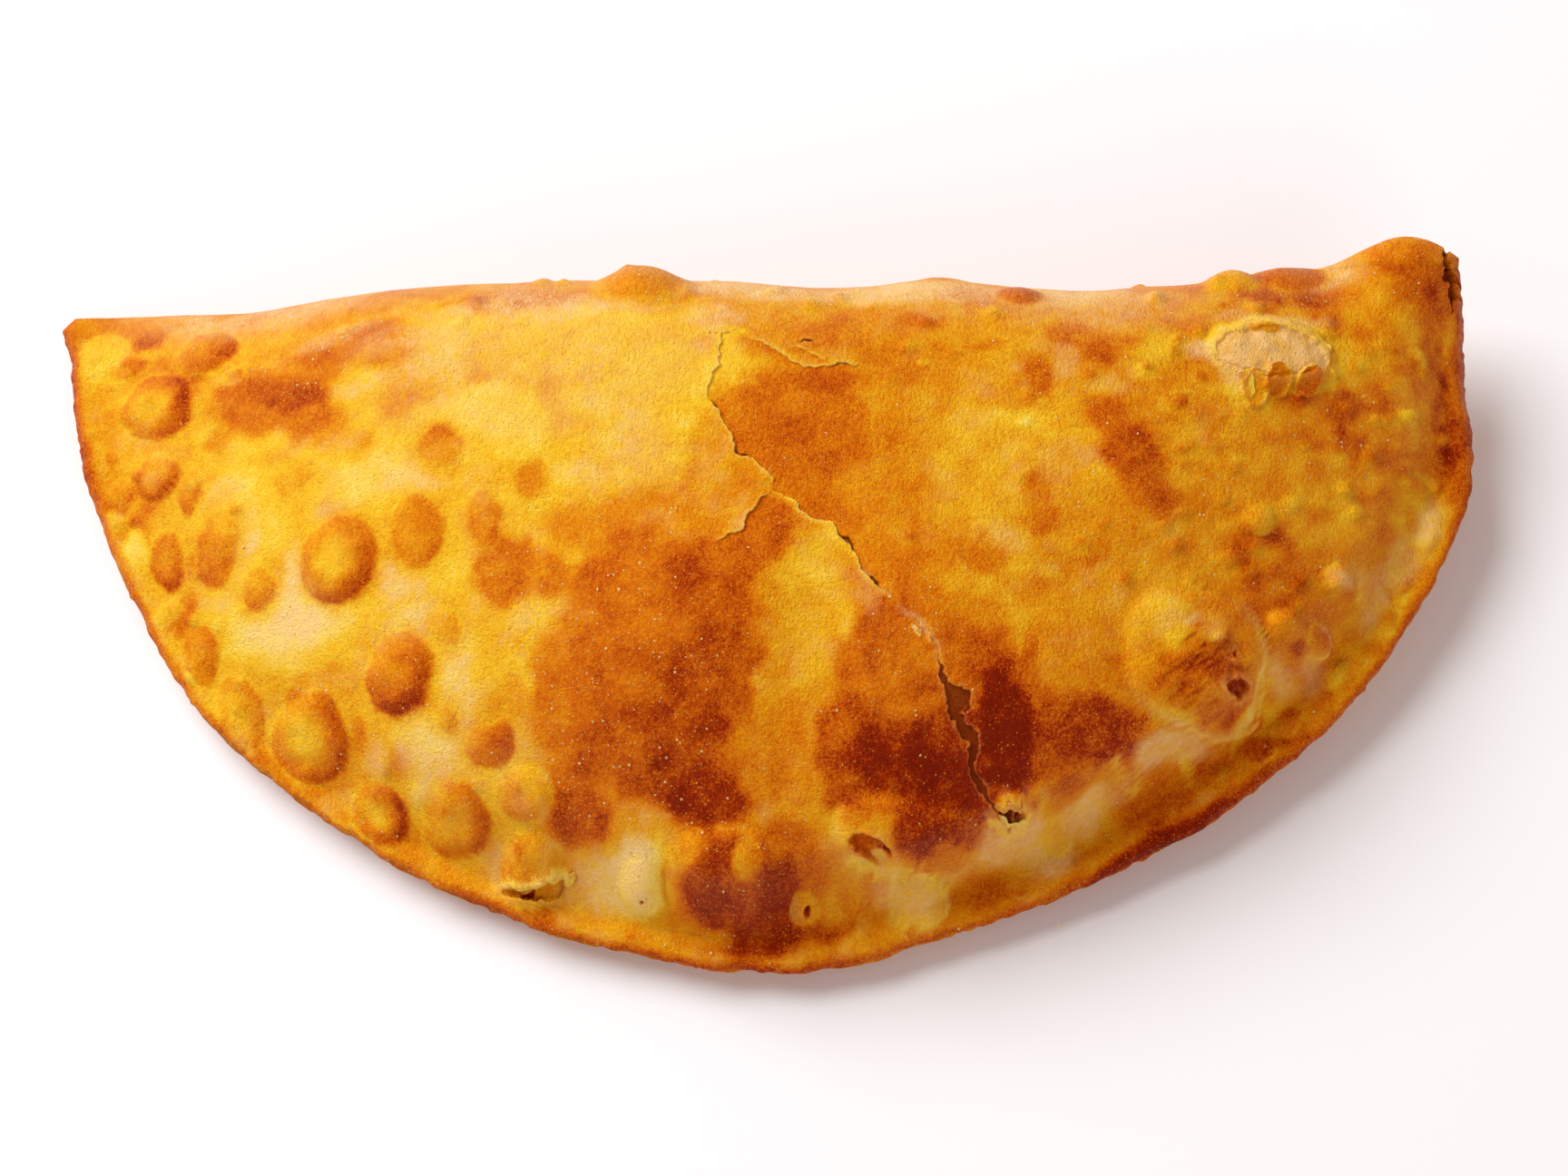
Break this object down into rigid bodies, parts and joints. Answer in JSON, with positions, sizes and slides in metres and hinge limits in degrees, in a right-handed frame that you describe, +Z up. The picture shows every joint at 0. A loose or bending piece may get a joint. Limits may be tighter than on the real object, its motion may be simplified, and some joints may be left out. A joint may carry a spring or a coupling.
{
  "type": "potato cheburek",
  "caption": "Half-moon fried turnover with a straight folded back, a thin sealed curved rim, blisters, a jagged crack across the top and a flat underside to rest on.",
  "frame": {"origin": "under the middle of the bounding box, on the surface that the pastry rests on", "axes": "+X along the straight fold, from the flatter end to the end with the raised corner; +Y from the sealed rim to the fold; +Z up"},
  "size_m": [0.193, 0.0954, 0.0333],
  "materials": {
    "fried_crust": "satin"
  },
  "bodies": {
    "root": {"pastry": "fried_crust"}
  },
  "joints": []
}
